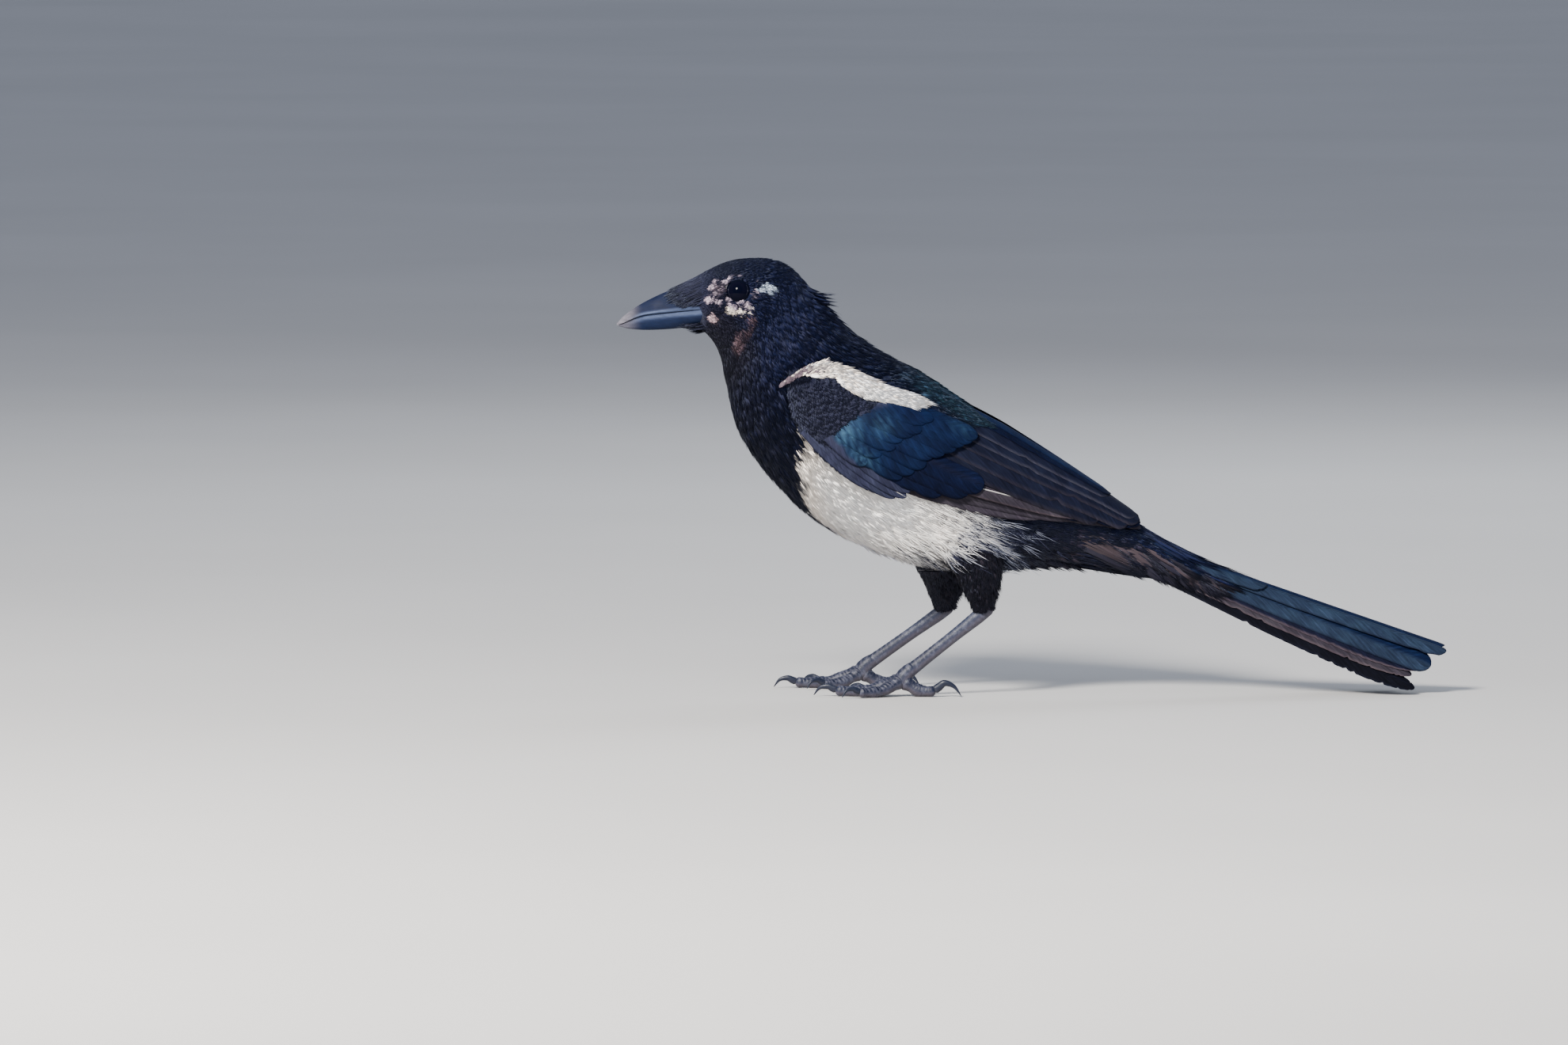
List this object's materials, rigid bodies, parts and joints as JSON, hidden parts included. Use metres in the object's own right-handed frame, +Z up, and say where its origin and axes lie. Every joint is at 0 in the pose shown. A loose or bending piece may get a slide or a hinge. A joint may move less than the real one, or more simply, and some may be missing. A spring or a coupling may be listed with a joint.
{
  "type": "life-size magpie figure",
  "caption": "Still, life-size Eurasian magpie standing with head raised, folded pied wings, closed sloping tail and scaled feet flat on the ground.",
  "frame": {"origin": "centre of the box round the bird, on the ground it stands on", "axes": "+Z up, +X towards the tail tip, so the bill points to -X, and -Y towards the bird's left side"},
  "size_m": [0.3663, 0.0826, 0.1926],
  "materials": {
    "black_plumage": "soft black plumage with a faint blue gloss",
    "pied_plumage": "black and white body plumage",
    "wing_feathers": "dark feathers with a blue-green gloss, white at the shoulder",
    "tail_feathers": "dark feathers with a green and bronze gloss",
    "horn": "dark horn, satin",
    "eye": "wet and glossy",
    "leg_skin": "scaled skin, satin",
    "claw": "dark horn, satin"
  },
  "bodies": {
    "root": {"head": "black_plumage", "neck": "black_plumage", "torso": "pied_plumage", "bill_upper": "horn", "bill_lower": "horn", "eye_left": "eye", "eye_right": "eye", "wing_left": "wing_feathers", "wing_right": "wing_feathers", "tail": "tail_feathers", "thigh_left": "black_plumage", "tarsus_left": "leg_skin", "foot_left": "leg_skin", "claw_left_hind": "claw", "claw_left_inner": "claw", "claw_left_middle": "claw", "claw_left_outer": "claw", "thigh_right": "black_plumage", "tarsus_right": "leg_skin", "foot_right": "leg_skin", "claw_right_hind": "claw", "claw_right_inner": "claw", "claw_right_middle": "claw", "claw_right_outer": "claw"}
  },
  "joints": []
}
